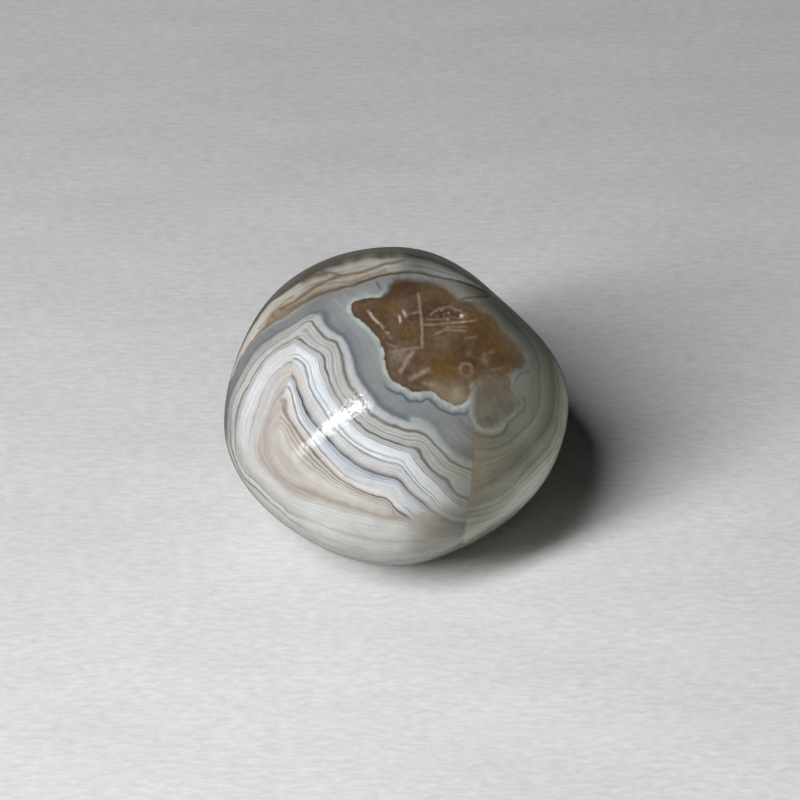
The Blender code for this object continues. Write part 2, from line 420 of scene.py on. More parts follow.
# Brown veins and white patches of the strip beyond the ridge
STRIP_VEINS = [
    (0.8, 0.14, [(0.7, 12.85), (-1.1, 12.45), (-3.3, 11.7), (-4.9, 11.5), (-6.7, 11.9)]),
    (0.85, 0.28, [(-6.2, 11.65), (-7.2, 11.5), (-8.2, 11)]),
    (0.8, 0.15, [(-4.9, 11.5), (-7, 10.6), (-7.9, 9.95), (-8.9, 9.25), (-10.2, 8.5)]),
    (0.5, 0.12, [(-7, 10.6), (-5.6, 10.85), (-4, 10.9), (-2.6, 11.5), (-1, 11.9)]),
    (0.45, 0.12, [(-9, 9.7), (-9.9, 9.1), (-11, 7.9), (-12, 6.9)]),
]
WHITE_PATCHES = [
    (0.3, 12.95, 0.5, 0.6), (-2.4, 12.5, 0.7, 0.8), (-4.1, 12.2, 0.6, 0.8), (-5.8, 11.5, 0.6, 0.5),
    (-0.8, 12.7, 0.5, 0.5), (-8.7, 10.1, 0.45, 0.5), (-10.6, 8.6, 0.5, 0.45), (-6.2, 10.9, 0.4, 0.5),
]

# Where the folded lines fade out, and where the right side is browner
FADING_SPOTS = [(1.9, -10.0, 1.0, 1.0), (3.6, -10.5, 1.3, 1.0), (5.6, -10.9, 1.2, 1.0)]
BROWN_SIDE_SPOTS = [
    (7, -3.4, 1.0, 0.6), (7.2, -5.3, 1.1, 0.6), (7, -7.1, 1.0, 0.6), (9, -4.4, 1.2, 0.2),
]

# Spots of painted shade, and of painted light below zero; partly the stone's own tone
PAINTED_SHADE_SPOTS = [
    (5.2, -9.3, 1.5, 0.36), (7.1, -9.8, 1.6, 0.30), (3.7, -10.4, 1.2, 0.15), (2, -12.2, 1.3, 0.28),
    (-13.3, 2.5, 3.0, -0.15), (-9.2, 8, 1.6, -0.10), (-5, 8.7, 1.2, -0.08), (-13.2, -3, 1.5, -0.08),
    (-6, -11, 1.5, -0.1), (9.8, -3.8, 1.5, 0.12), (4.8, -3, 1.2, -0.2), (5, -11.3, 0.8, -0.2),
    (11.2, -4.7, 1.1, 0.24), (7.1, -7.3, 0.9, 0.12),
]

# Lines drawn over the bands: strength, half width, points. First dark hairlines near the top
# right and round the lobe.
HAIRLINES = [
    (0.45, 0.09, [(-3.4, 10.85), (-2.4, 11.15), (-1.6, 11.4), (0, 11.72), (2, 11.7), (4, 11.25)]),
    (0.6, 0.09, [(4, 11.25), (5, 11.05), (6, 10.8), (7, 10.45), (7.9, 10.0)]),
    # The next stroke darkens a small crevice: painted shade
    (0.6, 0.10, [(-1.75, 10.95), (-1.65, 10.65), (-1.45, 10.4)]),
    (0.7, 0.08, [(5.2, 9.25), (6, 9.55), (7, 9.6), (8, 9.7)]),
    (0.85, 0.09, [(5.3, 11), (6.5, 10.6), (7.3, 10.3), (8.1, 9.85)]),
    (0.8, 0.08, [(6.2, 11.3), (7.5, 10.8), (8.3, 10.1)]),
    (0.6, 0.10, [(10.3, 2.5), (10.6, 2.8), (11, 3), (11.5, 3.2)]),
    (0.42, 0.12, [(6.8, -2.2), (7.4, -2.5), (8.3, -2.65), (9, -2.45), (9.45, -2), (9.7, -1.35)]),
    (0.38, 0.11, [(9.7, -1.35), (10.3, -0.85), (10.95, -0.35), (11.15, 0.3), (11.1, 0.9)]),
]

# Pale lower edge of the grey band, and the beige tip of a chevron of the lace
PALE_BAND = [
    (0.9, 0.3, [
        (1.4, -1.05), (2, -1.2), (2.7, -1.45), (3.05, -1.85), (3.5, -2.45), (4, -3.05), (4.5, -3.65),
        (5.2, -4.2), (5.9, -4.6), (6.5, -4.85),
    ]),
]
BEIGE_CHEVRON = [(0.7, 0.28, [(-9.7, 2.6), (-9.1, 3.35), (-8.7, 2.7), (-8.5, 2)])]

# Pale lines round the quartz and the lobe, and here and there in the lace
PALE_LINES = [
    (0.75, 0.10, [(10, 3), (10.5, 3.25), (11.2, 3.45), (11.4, 3.9), (11.2, 4.7)]),
    (0.5, 0.10, [(10.05, 2.3), (10.0, 1.7), (10.3, 1.2), (10.8, 0.6), (10.8, 0)]),
    (0.5, 0.10, [(9.95, 6.3), (10.2, 6.05), (10.5, 5.6)]),
    (0.35, 0.08, [(-0.6, 12.95), (-0.2, 12.9)]),
    (0.5, 0.12, [(-11.7, 5), (-11.2, 5.2), (-10.6, 5.45)]),
    (0.4, 0.10, [(-9.9, 6.2), (-9.4, 6.5), (-8.8, 6.8)]),
    (0.5, 0.16, [(6.5, 1.4), (6.45, 0.3), (6.5, -0.8), (6.9, -1.6), (7.5, -2)]),
    (0.4, 0.13, [(7.5, -2), (8.3, -2.1), (9, -1.9), (9.4, -1.4)]),
    (0.5, 0.12, [(9.7, -1), (10.3, -0.4), (10.8, 0.2)]),
    (0.8, 0.12, [(10.9, 0.25), (11, 0.3)]),
    (0.42, 0.15, [(2.9, -8.6), (3.75, -9.07), (4.97, -9.68), (6.02, -9.85), (6.9, -9.8)]),
    (0.22, 0.2, [(6.9, -9.8), (7.6, -9.68), (9, -8.98), (9.7, -8.1), (10.2, -7.2)]),
]

# Rust along the crack, fainter at its foot
RUST_STAINS = [
    (0.7, 0.07, CRACK_LINE[1:8]),
    (0.3, 0.10, CRACK_LINE[7:]),
    (0.5, 0.16, [(6.75, -2.6), (6.8, -3.4), (6.7, -4.3)]),
    (0.3, 0.3, [(6.9, -2.9), (6.8, -3.8)]),
]


def direction(azimuth_deg, elevation_deg):
    """Unit vector from a compass direction (0 is +X, 90 is +Y) and a slope."""
    azimuth = math.radians(azimuth_deg)
    elevation = math.radians(elevation_deg)
    level = math.cos(elevation)
    return np.array([math.cos(azimuth) * level, math.sin(azimuth) * level, math.sin(elevation)])


VIEW_FORWARD = direction(90, -CAMERA_ELEVATION_DEG)
VIEW_RIGHT = np.array([1.0, 0.0, 0.0])
VIEW_UP = np.cross(VIEW_RIGHT, VIEW_FORWARD)


# Noise without pictures or chance: hashed values on a lattice, blended smoothly.
# Large odd numbers scramble the lattice corners.

CORNER_STEPS = (374761393, 668265263, 2147483647)
SEED_STEP = 974711
SCRAMBLE = 1274126177
KEEP_32_BITS = 0xFFFFFFFF
KEEP_16_BITS = 0xFFFF


def hashed(cell, seed):
    """A value from -1 to 1 for each whole-number lattice corner."""
    mixed = sum(cell[:, axis] * CORNER_STEPS[axis] for axis in range(3)) + seed * SEED_STEP
    mixed = np.bitwise_and(mixed, KEEP_32_BITS)
    mixed = np.bitwise_and(np.bitwise_xor(mixed, mixed >> 13) * SCRAMBLE, KEEP_32_BITS)
    mixed = np.bitwise_xor(mixed, mixed >> 16)
    return np.bitwise_and(mixed, KEEP_16_BITS) / (KEEP_16_BITS / 2.0) - 1.0


def lattice_noise(points, size, seed):
    """Smooth noise from -1 to 1 with features of the given size."""
    scaled = points / size
    cell = np.floor(scaled).astype(np.int64)
    part = scaled - cell
    blend = part * part * (3.0 - 2.0 * part)
    total = np.zeros(len(points))
    for corner in np.ndindex(2, 2, 2):
        weight = np.prod(np.where(corner, blend, 1.0 - blend), axis=1)
        total += weight * hashed(cell + np.array(corner), seed)
    return total


def wobble(points, waves, seed):
    """Sum of noises, each given as its amount and the size of its waves."""
    total = np.zeros(len(points))
    for number, (amount, size) in enumerate(waves):
        total += amount * lattice_noise(points, size, seed + number)
    return total


def rising(value, start, end):
    """0 at the start and 1 at the end, straight between; the start may be the higher one."""
    return np.clip((value - start) / (end - start), 0.0, 1.0)


# The skin

SAME_PLACE_DIGITS = 7
TINY = 1e-9


def cube_directions(cells):
    """Directions through an evenly divided cube, and its quads, wound outwards."""
    steps = np.tan(np.linspace(-1.0, 1.0, cells + 1) * math.pi / 4.0)
    across, along = np.meshgrid(steps, steps, indexing="ij")
    index = np.arange((cells + 1) ** 2).reshape(cells + 1, cells + 1)
    square = np.stack([index[:-1, :-1], index[1:, :-1], index[1:, 1:], index[:-1, 1:]], axis=-1)
    square = square.reshape(-1, 4)
    corners = []
    quads = []
    for axis in range(3):
        for side in (-1.0, 1.0):
            face = np.empty((index.size, 3))
            face[:, axis] = side
            face[:, (axis + 1) % 3] = across.ravel()
            face[:, (axis + 2) % 3] = along.ravel()
            corners.append(face)
            ring = square if side > 0 else square[:, ::-1]
            quads.append(ring + len(quads) * index.size)
    corners = np.vstack(corners)
    rounded = np.round(corners, SAME_PLACE_DIGITS)
    _, first, shared = np.unique(rounded, axis=0, return_index=True, return_inverse=True)
    ways = corners[first]
    ways /= np.linalg.norm(ways, axis=1, keepdims=True)
    return ways, shared.reshape(-1)[np.vstack(quads)]


def crowded(ways):
    """Draw directions together around the camera's side, where the detail is."""
    towards = -VIEW_FORWARD
    facing = np.clip(ways @ towards, -1.0, 1.0)
    angle = np.arccos(facing)
    nearer = 2.0 * np.arctan(np.tan(angle / 2.0) / CROWDING)
    sideways = ways - facing[:, None] * towards
    length = np.linalg.norm(sideways, axis=1, keepdims=True)
    sideways = np.where(length > TINY, sideways / np.maximum(length, TINY), 0.0)
    return np.cos(nearer)[:, None] * towards + np.sin(nearer)[:, None] * sideways


def body_radius(ways):
    """Distance from the centre to the body worn flat on its sides."""
    closeness = np.linalg.norm(ways / SEMI_AXES, axis=1) ** RIDGE_POWER
    for azimuth, elevation, distance in WORN_SIDES.values():
        facing = np.clip(ways @ direction(azimuth, elevation), 0.0, None)
        closeness += (facing / distance) ** RIDGE_POWER
    radius = closeness ** (-1.0 / RIDGE_POWER)
    factor = np.ones(len(ways))
    for azimuth, elevation, spread, depth in HOLLOWS.values():
        apart = np.degrees(np.arccos(np.clip(ways @ direction(azimuth, elevation), -1.0, 1.0)))
        factor -= depth / HOLLOW_REFERENCE_RADIUS * np.exp(-((apart / spread) ** 2))
    return radius * factor


def face_plane(points):
    """Each point seen from the camera: mm right, mm up on the face plane, and mm in front of it."""
    offset = points - STONE_CENTRE
    behind = offset @ VIEW_FORWARD
    shrink = CAMERA_DISTANCE / (CAMERA_DISTANCE + behind)
    return (offset @ VIEW_RIGHT) * shrink, (offset @ VIEW_UP) * shrink, -behind


# Fields drawn through contours

POINTS_AT_ONCE = 8000


def resample(line, step):
    """Points along a line, no further apart than the step."""
    line = np.array(line, float)
    pieces = []
    for start, end in zip(line[:-1], line[1:]):
        count = max(1, math.ceil(np.linalg.norm(end - start) / step))
        pieces.append(start + (end - start) * (np.arange(count) / count)[:, None])
    pieces.append(line[-1:])
    return np.vstack(pieces)


def bend_kernel(squared):
    """Kernel of a thin bent plate, from squared distances."""
    return 0.5 * squared * np.log(np.maximum(squared, TINY ** 2))


def plate_through(contours):
    """Bend a thin plate through contours at their heights; returns a function of (a, b)."""
    lines = {height: resample(line, KNOT_STEP) for height, line in contours.items()}
    knots = np.vstack(list(lines.values()))
    heights = np.concatenate([np.full(len(line), float(height)) for height, line in lines.items()])
    count = len(knots)
    gaps = ((knots[:, None] - knots[None]) ** 2).sum(axis=2)
    edge = np.hstack([np.ones((count, 1)), knots])
    system = np.zeros((count + 3, count + 3))
    system[:count, :count] = bend_kernel(gaps) + PLATE_GIVE * np.eye(count)
    system[:count, count:] = edge
    system[count:, :count] = edge.T
    weights = np.linalg.solve(system, np.concatenate([heights, np.zeros(3)]))

    def height_at(a, b):
        places = np.stack([a, b], axis=1)
        result = np.empty(len(places))
        for start in range(0, len(places), POINTS_AT_ONCE):
            some = places[start:start + POINTS_AT_ONCE]
            squared = (some ** 2).sum(axis=1)[:, None] + (knots ** 2).sum(axis=1)[None]
            squared = np.maximum(squared - 2.0 * some @ knots.T, 0.0)
            bent = bend_kernel(squared) @ weights[:count]
            result[start:start + POINTS_AT_ONCE] = bent + weights[count] + some @ weights[count + 1:]
        return result

    return height_at


def steepness(height_at, a, b):
    """A field's level at each point, and how many bands it crosses in a millimetre there."""
    here = height_at(a, b)
    across = height_at(a + SLOPE_STEP, b) - here
    upwards = height_at(a, b + SLOPE_STEP) - here
    return here, np.hypot(across, upwards) / SLOPE_STEP


def line_distance(a, b, line, closed=False):
    """Distance to a line and the side it is passed on, for each point."""
    ends = list(line) + [line[0]] if closed else list(line)
    nearest = np.full(len(a), np.inf)
    side = np.ones(len(a))
    for (a0, b0), (a1, b1) in zip(ends[:-1], ends[1:]):
        da, db = a1 - a0, b1 - b0
        place = np.clip(((a - a0) * da + (b - b0) * db) / (da * da + db * db), 0.0, 1.0)
        gap = np.hypot(a - a0 - place * da, b - b0 - place * db)
        turn = da * (b - b0) - db * (a - a0)
        closer = gap < nearest
        nearest = np.where(closer, gap, nearest)
        side = np.where(closer, np.sign(turn), side)
    return nearest, side


def inside(a, b, outline):
    """Whether each point is inside a closed outline."""
    hit = np.zeros(len(a), bool)
    ends = list(outline) + [outline[0]]
    for (a0, b0), (a1, b1) in zip(ends[:-1], ends[1:]):
        if b0 == b1:
            continue
        crosses = (b0 > b) != (b1 > b)
        hit ^= crosses & (a < a0 + (b - b0) / (b1 - b0) * (a1 - a0))
    return hit


def outline_distance(a, b, outline):
    """Distance to a closed outline, negative inside it."""
    gap, _ = line_distance(a, b, outline, closed=True)
    return np.where(inside(a, b, outline), -gap, gap)


def spots(a, b, places):
    """Sum of soft round spots: (mm right, mm up, radius, strength)."""
    total = np.zeros(len(a))
    for spot_a, spot_b, radius, strength in places:
        total += strength * np.exp(-((a - spot_a) ** 2 + (b - spot_b) ** 2) / radius ** 2)
    return total


def strokes(a, b, lines):
    """Strongest of some soft strokes: (strength, half width, points)."""
    total = np.zeros(len(a))
    for strength, half_width, line in lines:
        gap, _ = line_distance(a, b, line)
        total = np.maximum(total, strength * np.exp(-((gap / half_width) ** 2)))
    return total


# Where the parts of the pattern are strong or weak, crisp or soft.
# Numbers beside a and b are places on the face plane, in mm.

def quartz_rim(a, b, quartz):
    """Distance outside the quartz in widths of its pale rim, which thins out to the right."""
    right = rising(a, 4.5, 7.0) * rising(b, 2.6, 3.4)
    top = rising(a, -1.4, -0.6) * rising(b, 9.0, 9.8)
    thin = np.maximum(right, top)
    return quartz / (RIM_WIDTH * (1.0 - thin) + THIN_RIM_WIDTH * thin)


def rim_strength(a, b):
    """How strong the pale rim is: bright on the left and below, faint to the right, none on top."""
    right = rising(a, 5.2, 7.0) * rising(b, 2.2, 3.0)
    top = rising(a, -1.6, -0.8) * rising(b, 8.6, 9.4)
    corner = np.exp(-((a - 11.1) ** 2 + (b - 3.4) ** 2) / 0.9 ** 2)
    strength = 1.0 - RIGHT_RIM_FADING * right - TOP_RIM_FADING * top + CORNER_RIM_GAIN * corner
    return np.clip(strength, 0.0, 1.0)


def edge_softness(a, b):
    """Half width of the quartz's edge: crisp on the left and below, blurred elsewhere."""
    right = rising(a, 5.6, 7.0) * rising(b, 0.8, 1.8)
    top = rising(a, -1.8, -0.8) * rising(b, 8.8, 9.8)
    junction = np.exp(-(((a - 8.0) / 1.7) ** 2) - ((b - 2.3) / 0.9) ** 2)
    return CRISP_EDGE + BLURRED_EDGE * np.maximum(right, top) + JUNCTION_EDGE * junction


def crack_softness(b):
    """Half width of the step from the lace to the right side: a blend above and at its foot."""
    return CRACK_EDGE + UPPER_EDGE * rising(b, 0.5, 5.5) + FOOT_EDGE * rising(b, -9.6, -11.2)


def tone_and_painted_shading(a, b, hidden):
    """Painted shade, partly the stone's own tone: darker to the lower and upper right, with painted
    light by the right skyline; it evens out on the hidden side.
    """
    lower = rising(b, 2.0, -4.0)
    rightness = rising(a, -1.0, 7.0)
    rightness = rightness * rightness * (3.0 - 2.0 * rightness)
    beyond_crack = rising(a, 6.0, 7.5)
    foot = rising(b, -8.0, -11.0)
    shade_amount = rightness * (RIGHT_PAINTED_SHADE + LOWER_PAINTED_SHADE * lower) * (1.0 + FOOT_PAINTED_SHADE * foot)
    factor = 1.0 - shade_amount * (1.0 - beyond_crack)
    outwards = rising(a, 6.5, 13.5) ** 1.5
    factor = factor * (1.0 + beyond_crack * (SKYLINE_PAINTED_LIGHT * outwards - BEYOND_CRACK_PAINTED_SHADE))
    upper_right = rising(b, 3.0, 7.0) * rising(a, 7.5, 10.0)
    factor = factor * (1.0 - UPPER_RIGHT_PAINTED_SHADE * upper_right)
    factor = factor * (1.0 - spots(a, b, PAINTED_SHADE_SPOTS))
    return factor + (1.0 - factor) * rising(hidden, 0.0, 6.0)


def folded(level, low, high):
    """Levels above the highest band run back down through the bands, and up again."""
    over = np.mod(level - high, 2.0 * (high - low))
    back = high - np.where(over < high - low, over, 2.0 * (high - low) - over)
    return np.where(level > high, back, level)


def band_fields(a, b, hidden):
    """The three families of bands, as band numbers, and how steep the lace is."""
    lace, lace_slope = steepness(plate_through(LACE), a, b)
    right_side = plate_through(RIGHT_SIDE)(a, b)
    back_strip = plate_through(BACK_STRIP)(a, b)
    return {
        "lace": folded(lace + LACE_DRIFT * hidden, *LACE_LEVELS),
        "lace_slope": np.clip(lace_slope, 0.0, 2.0),
        "right_side": folded(right_side + RIGHT_DRIFT * hidden, *RIGHT_LEVELS),
        "back_strip": folded(back_strip + STRIP_DRIFT * hidden, *STRIP_LEVELS),
    }


def mark_fields(a, b):
    """Strength of each small mark and cloud of the stone."""
    return {
        "needles": strokes(a, b, QUARTZ_NEEDLES),
        "painted_sparkle": strokes(a, b, QUARTZ_PAINTED_SPARKLES),
        "ochre": spots(a, b, OCHRE_SPOTS),
        "cream": spots(a, b, CREAM_SPOTS),
        "hairlines": strokes(a, b, HAIRLINES),
        "pale_lines": strokes(a, b, PALE_LINES),
        "beige": strokes(a, b, BEIGE_CHEVRON),
        "pale_band": strokes(a, b, PALE_BAND),
        "rust": strokes(a, b, RUST_STAINS),
        "druzy": spots(a, b, DRUZY_SPOTS),
        "veins": strokes(a, b, STRIP_VEINS),
        "white_patches": np.clip(spots(a, b, WHITE_PATCHES), 0.0, 1.0),
        "rim_strength": rim_strength(a, b),
    }


def pattern_fields(points):
    """Every field of the stone at each point of the skin, and the distance to the crack."""
    a, b, front = face_plane(points)
    hidden = np.clip(-front, 0.0, None)
    sway = lattice_noise(points, SWAY_WAVE, 11)
    turning = lattice_noise(points, TURN_WAVE, 12)
    turn = np.radians(HIDDEN_TURN_DEG) * hidden * (1.0 + 0.4 * turning)
    wide_a = a * np.cos(turn) - b * np.sin(turn) + HIDDEN_SWAY * hidden * sway
    wide_b = a * np.sin(turn) + b * np.cos(turn) + HIDDEN_SWAY * hidden * turning
    near_a = wide_a + wobble(points, WAVER, 1)
    near_b = wide_b + wobble(points, WAVER, 3)
    fold_gap, fold_side = line_distance(wide_a, wide_b, FOLD_LINE)
    crack_gap, _ = line_distance(near_a, near_b, CRACK_LINE)
    step_gap, step_side = line_distance(near_a, near_b, [CRACK_TOP] + CRACK_LINE)
    ragged = wobble(points, RAGGED_EDGE, 5) + QUARTZ_CLOSING * hidden
    quartz = outline_distance(near_a, near_b, QUARTZ_OUTLINE) + ragged
    lobe = outline_distance(near_a, near_b, LOBE_OUTLINE) + ragged
    fields = {
        "fold": fold_gap * fold_side,
        "quartz": quartz,
        "quartz_edge": quartz / edge_softness(wide_a, wide_b),
        "crack_edge": step_gap * step_side / crack_softness(wide_b),
        "lobe": lobe,
        "rim": quartz_rim(wide_a, wide_b, quartz),
        "rim_line": rising(b, 2.4, 1.6) * rising(a, 7.0, 6.0),
        "along_a": wide_a,
        "along_b": wide_b,
        "hidden": hidden,
        "fading": np.clip(spots(wide_a, wide_b, FADING_SPOTS), 0.0, 1.0),
        "brown_side": np.clip(spots(wide_a, wide_b, BROWN_SIDE_SPOTS), 0.0, 1.0),
        # Painted shade and light over the visible side, partly the stone's own tone
        "tone_and_painted_shading": tone_and_painted_shading(a, b, hidden),
    }
    fields.update(band_fields(near_a, near_b, hidden))
    fields.update(mark_fields(near_a, near_b))
    return fields, crack_gap


def agate_skin():
    """The stone's skin in mm, its quads and its pattern fields."""
    ways, quads = cube_directions(CELLS_PER_EDGE)
    ways = crowded(ways)
    points = STONE_CENTRE + ways * body_radius(ways)[:, None]
    points[:, 2] = np.clip(points[:, 2], 0.0, None)
    fields, crack_gap = pattern_fields(points)
    pocket = rising(fields["quartz"], 0.0, -0.3)
    grain = np.abs(lattice_noise(points, COARSE_GRAIN, 21))
    grain += 0.6 * np.abs(lattice_noise(points, FINE_GRAIN, 22))
    pits = DRUZY_DEPTH * np.clip(fields["druzy"], 0.0, 1.0) * grain * pocket
    seam = CRACK_DEPTH * np.exp(-((crack_gap / CRACK_HALF_WIDTH) ** 2))
    seam *= rising(fields["lobe"], 0.1, 0.6)
    points = points - ways * (pits + seam)[:, None]
    return points, quads, fields


def agate_object():
    """Mesh object of the skin, carrying every field as an attribute of its points."""
    points, quads, fields = agate_skin()
    mesh = bpy.data.meshes.new("agate_skin")
    mesh.from_pydata([tuple(point) for point in points * MM], [], [tuple(quad) for quad in quads])
    for name, values in fields.items():
        attribute = mesh.attributes.new(name, "FLOAT", "POINT")
        attribute.data.foreach_set("value", values.astype(np.float32))
    mesh.shade_smooth()
    stone = bpy.data.objects.new("agate_skin", mesh)
    bpy.context.scene.collection.objects.link(stone)
    return stone


# Colour ramps

MOST_STOPS = 16
BRIGHTEST = 0.92

# Share of a line's half width that has its full colour
LINE_CORE = 0.35


def linear(value):
    """Linear share of light of a screen value from 0 to 255."""
    value /= 255.0
    return value / 12.92 if value <= 0.04045 else ((value + 0.055) / 1.055) ** 2.4


def seen(colour, light=1.0):
    """Linear colour of a stone that looks so (0 to 255) where it is lit so strongly."""
    return tuple(min(linear(value) / light, BRIGHTEST) for value in colour) + (1.0,)


def all_seen(colours, light):
    """Linear colours of several named ones, all lit alike."""
    return {name: seen(colour, light) for name, colour in colours.items()}


def ground_at(ground, level):
    """Colour between two stops of a ground ramp."""
    for (low, first), (high, second) in zip(ground[:-1], ground[1:]):
        if low <= level <= high:
            share = (level - low) / (high - low)
            return tuple(x + (y - x) * share for x, y in zip(first, second))
    return ground[0][1] if level < ground[0][0] else ground[-1][1]


def banded(ground, lines):
    """Stops of a ground ramp with narrow lines drawn over it: (level, half width, colour)."""
    kept = [
        stop for stop in ground
        if all(abs(stop[0] - level) > half for level, half, _ in lines)
    ]
    for level, half, colour in lines:
        kept.append((level - half, ground_at(ground, level - half)))
        kept.append((level - half * LINE_CORE, colour))
        kept.append((level + half * LINE_CORE, colour))
        kept.append((level + half, ground_at(ground, level + half)))
    return sorted(kept, key=lambda stop: stop[0])


# Ground stops and lines of each part of the pattern, by band number
RIGHT_LIMB = (
    [
        (-1.6, (150, 152, 152)), (-1.0, (144, 147, 148)), (-0.6, (137, 142, 144)),
        (-0.2, (118, 124, 128)),
        (-0.02, (106, 112, 118)), (0.1, (130, 135, 139)), (0.28, (172, 175, 178)),
        (0.45, (186, 189, 191)), (0.75, (188, 190, 191)), (0.88, (172, 173, 171)),
        (1.25, (188, 190, 186)), (1.8, (192, 193, 190)), (2.25, (186, 186, 186)),
        (2.5, (198, 199, 200)), (2.75, (216, 220, 224)), (3.0, (224, 229, 233)),
        (3.3, (222, 228, 232)), (3.55, (226, 229, 231)), (3.9, (208, 210, 213)),
        (4.2, (212, 210, 206)), (4.55, (204, 201, 197)), (4.78, (176, 175, 177)),
        (5.2, (184, 188, 193)), (5.35, (198, 204, 211)), (5.5, (208, 213, 218)),
        (5.66, (214, 213, 211)), (5.8, (202, 198, 194)), (6.15, (196, 189, 182)),
        (6.5, (200, 194, 188)), (6.9, (206, 200, 195)), (7.6, (208, 203, 198)),
    ],
    [
        (1.0, 0.15, (116, 112, 108)), (1.32, 0.05, (168, 168, 164)), (1.52, 0.09, (158, 160, 158)),
        (1.72, 0.05, (172, 173, 170)), (2.02, 0.17, (110, 108, 106)), (2.4, 0.06, (172, 171, 172)),
        (2.64, 0.10, (160, 163, 165)), (2.95, 0.05, (204, 208, 211)), (3.42, 0.07, (178, 186, 192)),
        (3.68, 0.10, (152, 156, 160)), (4.05, 0.05, (192, 192, 193)), (4.45, 0.06, (190, 187, 188)),
        (4.8, 0.05, (150, 149, 152)), (5.03, 0.17, (88, 88, 93)), (5.3, 0.05, (158, 163, 171)),
        (5.42, 0.04, (178, 184, 192)), (5.5, 0.03, (232, 232, 233)), (5.6, 0.05, (134, 134, 139)),
        (5.97, 0.13, (112, 104, 98)), (6.3, 0.09, (148, 139, 131)), (6.55, 0.08, (166, 158, 151)),
        (6.8, 0.07, (182, 175, 169)),
    ],
)
LEFT_LIMB = (
    [
        (-1.6, (150, 153, 153)), (-0.3, (140, 143, 143)), (-0.05, (124, 127, 127)),
        (0.15, (150, 153, 152)), (0.35, (184, 185, 183)), (0.9, (188, 188, 186)),
        (1.2, (200, 201, 198)), (1.6, (204, 205, 202)), (1.75, (186, 186, 182)),
        (2.1, (184, 184, 180)), (2.4, (204, 204, 203)), (2.7, (222, 223, 226)),
        (3.3, (224, 226, 229)), (3.7, (220, 220, 221)), (4.1, (206, 205, 204)),
        (4.6, (202, 201, 199)), (4.9, (212, 211, 210)), (5.2, (204, 201, 199)),
        (5.6, (192, 184, 180)), (5.85, (186, 176, 171)), (6.2, (200, 193, 189)),
        (7.6, (206, 201, 197)),
    ],
    [
        (0.4, 0.05, (160, 161, 159)), (0.62, 0.07, (158, 159, 157)), (0.85, 0.04, (168, 169, 167)),
        (1.04, 0.11, (140, 139, 136)), (1.45, 0.05, (180, 180, 177)), (1.85, 0.15, (144, 142, 136)),
        (2.3, 0.07, (176, 175, 172)), (2.85, 0.04, (204, 206, 210)), (3.1, 0.05, (206, 207, 210)),
        (3.45, 0.06, (198, 199, 202)), (3.9, 0.11, (176, 173, 173)), (4.35, 0.06, (186, 185, 184)),
        (4.7, 0.07, (180, 178, 175)), (5.3, 0.07, (180, 176, 172)), (5.7, 0.06, (168, 157, 151)),
        (6.1, 0.06, (190, 180, 174)),
    ],
)
LOWER_LEFT = (
    [
        (-1.0, (196, 196, 190)), (0.0, (214, 215, 209)), (0.5, (226, 227, 222)),
        (0.9, (206, 206, 200)), (1.1, (202, 202, 195)), (1.4, (224, 225, 220)),
        (1.8, (222, 222, 217)), (2.1, (196, 194, 188)), (2.7, (198, 196, 191)),
        (3.3, (212, 210, 208)), (4.2, (208, 206, 202)), (4.8, (196, 190, 184)),
        (5.2, (186, 178, 171)), (5.6, (190, 180, 173)), (6.0, (182, 176, 162)),
        (6.3, (190, 182, 171)), (6.7, (202, 195, 189)), (7.6, (206, 199, 194)),
    ],
    [
        (0.3, 0.06, (196, 197, 190)), (1.0, 0.13, (128, 127, 120)), (1.95, 0.15, (146, 143, 136)),
        (2.5, 0.06, (182, 180, 174)), (3.0, 0.07, (190, 187, 183)), (4.6, 0.07, (190, 185, 180)),
        (5.3, 0.10, (172, 160, 150)), (5.9, 0.09, (166, 158, 142)),
    ],
)
BOTTOM = (
    [
        (-1.0, (150, 150, 143)), (0.0, (160, 160, 152)), (0.5, (176, 176, 168)),
        (0.8, (196, 194, 189)), (1.6, (206, 204, 200)), (2.4, (198, 197, 191)),
        (3.2, (200, 202, 199)), (4.0, (202, 205, 202)), (4.6, (204, 204, 199)),
        (5.2, (192, 188, 181)), (5.7, (176, 170, 161)), (6.1, (168, 160, 150)),
        (6.4, (182, 176, 168)), (7.0, (198, 193, 188)), (7.6, (202, 197, 192)),
    ],
    [
        (0.35, 0.14, (136, 134, 125)), (1.15, 0.08, (188, 186, 180)), (2.2, 0.16, (180, 178, 171)),
        (3.6, 0.08, (190, 191, 187)), (4.9, 0.09, (180, 177, 169)), (5.8, 0.09, (156, 147, 136)),
    ],
)
RIGHT_BANDS = (
    [
        (-1.5, (100, 100, 94)), (0.0, (88, 88, 81)), (0.5, (96, 97, 88)), (1.0, (92, 92, 80)),
        (1.5, (84, 84, 71)), (2.0, (79, 79, 68)), (2.5, (89, 89, 81)), (2.8, (102, 102, 93)),
        (3.05, (96, 96, 88)), (3.3, (118, 119, 108)), (3.7, (128, 129, 116)),
        (4.1, (144, 144, 130)), (4.5, (150, 150, 140)), (5.0, (156, 156, 148)),
        (5.6, (150, 150, 142)),
    ],
    [
        (0.25, 0.10, (80, 81, 75)), (0.8, 0.09, (86, 87, 79)), (1.25, 0.08, (80, 80, 68)),
        (2.25, 0.08, (72, 72, 62)), (3.5, 0.08, (106, 107, 96)), (3.9, 0.07, (122, 122, 109)),
        (4.3, 0.06, (132, 132, 120)),
    ],
)
